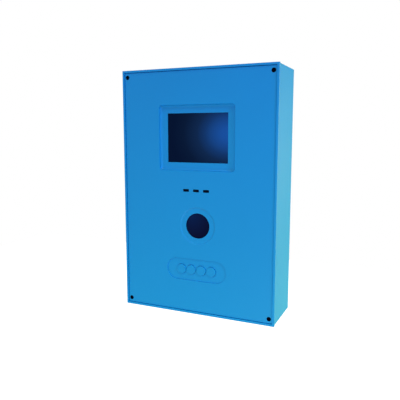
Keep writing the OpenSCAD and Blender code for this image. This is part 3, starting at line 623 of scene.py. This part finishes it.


# painted glow: the display glass gives off light that brightens towards its right side, standing in for the blue
# sheen on the dark window
windowPane = paintedGlowPane("windowPane", (0.04, coverFace, 0.074), (0.075, 0.1, 0.062),
                      [(0.0, (0.0004, 0.0045, 0.0235)), (0.22, (0.0013, 0.0076, 0.031)),
                       (0.46, (0.0036, 0.018, 0.066)), (0.6, (0.005, 0.033, 0.135)),
                       (0.69, (0.0065, 0.049, 0.205)), (0.88, (0.008, 0.073, 0.325)),
                       (1.0, (0.0085, 0.08, 0.35))])
# painted glow: the reader port gives off light that lightens towards its upper left
portPane = paintedGlowPane("portPane", (-0.006, coverFace, -0.028), (0.03, 0.1, 0.03),
                    [(0.0, (0.0018, 0.0016, 0.0157)), (1.0, (0.0018, 0.0109, 0.06))])
# painted glow: a faint emission on the status lenses
lensPane = paintedGlowPane("lensPane", (0, coverFace, 0.0047), (0.03, 0.1, 0.03),
                    [(0.0, (0.0005, 0.001, 0.006)), (1.0, (0.0005, 0.002, 0.01))])
paneSizes = {"edge": 0.00025, "flange": 0.002, "sideGap": 0.00015, "portEdge": 0.0004, "portChamfer": 0.0001,
             "lensSink": 0.0002, "lensCorner": 0.00085, "lensEdge": 0.0002, "lensFlange": 0.001,
             "lensPegW": 0.006, "lensPegH": 0.0024}


def makeWindow():
    low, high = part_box("display_window")
    flangeFront = high.y - paneSizes["flange"]
    pane = objectFrom(newBox((low.x, flangeFront, low.z), high), "displayWindowPane")
    width = coverSizes["windowW"] - 2 * paneSizes["sideGap"]
    height = coverSizes["windowH"] - 2 * paneSizes["sideGap"]
    joinTo(pane, newBox(*aroundPoint(0, coverSizes["windowZ"], width, height, low.y, flangeFront + lap / 2)))
    finishPiece(pane, "cover", windowPane, ["display_window"], edge=paneSizes["edge"])


def makePort():
    low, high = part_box("reader_window")
    x, z = middleOf(low, high)
    edge, chamfer = paneSizes["portEdge"], paneSizes["portChamfer"]
    radius, flangeRadius = coverSizes["portRadius"] - paneSizes["sideGap"], (high.x - low.x) / 2
    back = coverFace + coverSizes["thick"]
    outline = [(0, low.y), (radius - edge, low.y), (radius - chamfer, low.y + chamfer),
               (radius, low.y + edge), (radius, back), (flangeRadius, back), (flangeRadius, high.y),
               (0, high.y)]
    pane = objectFrom(newTurned(x, z, outline, 96), "readerWindowPane")
    finishPiece(pane, "cover", portPane, ["reader_window"])


def makeLenses():
    s = paneSizes
    front, back = coverFace + s["lensSink"], coverFace + coverSizes["thick"]
    width, height = coverSizes["slotW"] - 2 * s["sideGap"], coverSizes["slotH"] - 2 * s["sideGap"]
    lenses = bmesh.new()
    for low, high in solidBoxes("status_lenses"):
        x, z = middleOf(low, high)
        lens = objectFrom(roundedBox(*aroundPoint(x, z, width, height, front, back + lap / 2),
                                     s["lensCorner"], 5), "lens")
        joinTo(lens, newBox((low.x, back, low.z), (high.x, back + s["lensFlange"], high.z)))
        joinTo(lens, newBox(*aroundPoint(x, z, s["lensPegW"], s["lensPegH"], back + lap / 2, high.y)))
        lenses.from_mesh(lens.data)
        bpy.data.objects.remove(lens)
    finishPiece(objectFrom(lenses, "statusLensSet"), "cover", lensPane, ["status_lenses"],
                edge=s["lensEdge"])


makeWindow()
makePort()
makeLenses()
print("panes are built")


screwKinds = {
    "cover": {"head": 0.00265, "headDepth": 0.0013, "shank": 0.00145, "pitch": 0.0005, "rise": 0.001,
              "socket": "hex"},
    "plate": {"head": 0.0026, "headDepth": 0.0013, "shank": 0.00145, "pitch": 0.0005, "rise": 0.0,
              "socket": "cross"},
    "board": {"head": 0.00225, "headDepth": 0.0018, "shank": 0.0012, "pitch": 0.00045, "rise": 0.0,
              "socket": "cross"},
}
screwShares = {"dome": 0.08, "backDome": 0.25, "hex": 0.45, "crossLong": 0.62, "crossShort": 0.12,
               "socketDepth": 0.65, "backSocketDepth": 0.55, "threadDepth": 0.45, "tip": 0.6}


def threadedOutline(headRadius, headFront, headBack, shankRadius, end, pitch, dome):
    outline = [(0, headFront), (headRadius - dome, headFront), (headRadius, headFront + dome),
               (headRadius, headBack), (shankRadius, headBack)]
    y = headBack + pitch
    while y < end - pitch:
        outline += [(shankRadius, y), (shankRadius - pitch * screwShares["threadDepth"], y + pitch / 2)]
        y += pitch
    outline += [(shankRadius, y), (shankRadius * screwShares["tip"], end), (0, end)]
    return outline


def makeScrews(node, name, body, kind, material, fromBack=False):
    k, share = screwKinds[kind], screwShares
    head, depth = k["head"], k["headDepth"]
    group = bmesh.new()
    for low, high in solidBoxes(node):
        x, z = middleOf(low, high)
        if fromBack:
            outline = threadedOutline(head, 0, depth, k["shank"], high.y - low.y, k["pitch"],
                                      head * share["backDome"])
            outline = [(r, high.y - y) for r, y in outline]
            socketFront, socketBack = high.y - depth * share["backSocketDepth"], high.y + lap
        else:
            outline = threadedOutline(head, low.y - k["rise"], low.y + depth, k["shank"], high.y, k["pitch"],
                                      head * share["dome"])
            socketFront, socketBack = low.y - k["rise"] - lap, low.y + depth * share["socketDepth"]
        screw = objectFrom(newTurned(x, z, outline, 32), "screw")
        if k["socket"] == "hex":
            cutFrom(screw, newRod(x, z, head * share["hex"], socketFront, socketBack, 6))
        else:
            short, long = share["crossShort"], share["crossLong"]
            for halfW, halfH in ((short, long), (long, short)):
                cutFrom(screw, newBox((x - head * halfW, socketFront, z - head * halfH),
                                      (x + head * halfW, socketBack, z + head * halfH)))
        group.from_mesh(screw.data)
        bpy.data.objects.remove(screw)
    finishPiece(objectFrom(group, name), body, material, [node], smooth=30)


makeScrews("cover_screws", "coverScrewSet", "cover", "cover", blackOxide)
makeScrews("plate_screws", "plateScrewSet", "case", "plate", zincSteel)
makeScrews("board_screws", "boardScrewSet", "case", "board", zincSteel)
for part in ("display", "status", "reader", "keypad"):
    makeScrews(f"{part}_screws", f"{part}ScrewSet", "cover", "board", zincSteel, fromBack=True)
print("screws are built")


finishes = {
    "threaded_inserts": turnedBrass, "cable_grommet": blackRubber, "mounting_plate": zincSteel,
    "power_supply": zincSteel, "supply_terminals": blackPlastic, "supply_leads": redCable,
    "field_terminals": greenPlastic, "board_standoffs": turnedBrass, "main_board": greenBoard,
    "board_chips": blackPlastic, "heat_sink": blackAluminium, "clock_cell": zincSteel,
    "ribbon_socket": blackPlastic, "modem_board": blueBoard, "modem_shield": zincSteel,
    "antenna": blackPlastic, "antenna_lead": blackRubber, "cover_seal": blackRubber,
    "display_gasket": blackRubber, "display_panel": blackPlastic, "display_board": greenBoard,
    "cover_ribbon": greyCable, "status_board": greenBoard, "status_leds": whitePlastic,
    "reader_housing": blackPlastic, "reader_board": greenBoard, "reader_lens": blackPlastic,
    "reader_ribbon": greyCable, "keypad_guide": blackPlastic, "keypad_board": greenBoard,
    "keypad_switches": blackPlastic, "keypad_ribbon": greyCable,
}
for buttonNumber in buttonNumbers:
    finishes[f"button_spring_{buttonNumber}"] = springSteel
    finishes[f"switch_plunger_{buttonNumber}"] = whitePlastic
for node, material in finishes.items():
    nodes[node].data.materials.clear()
    nodes[node].data.materials.append(material)
print("finishes are set")
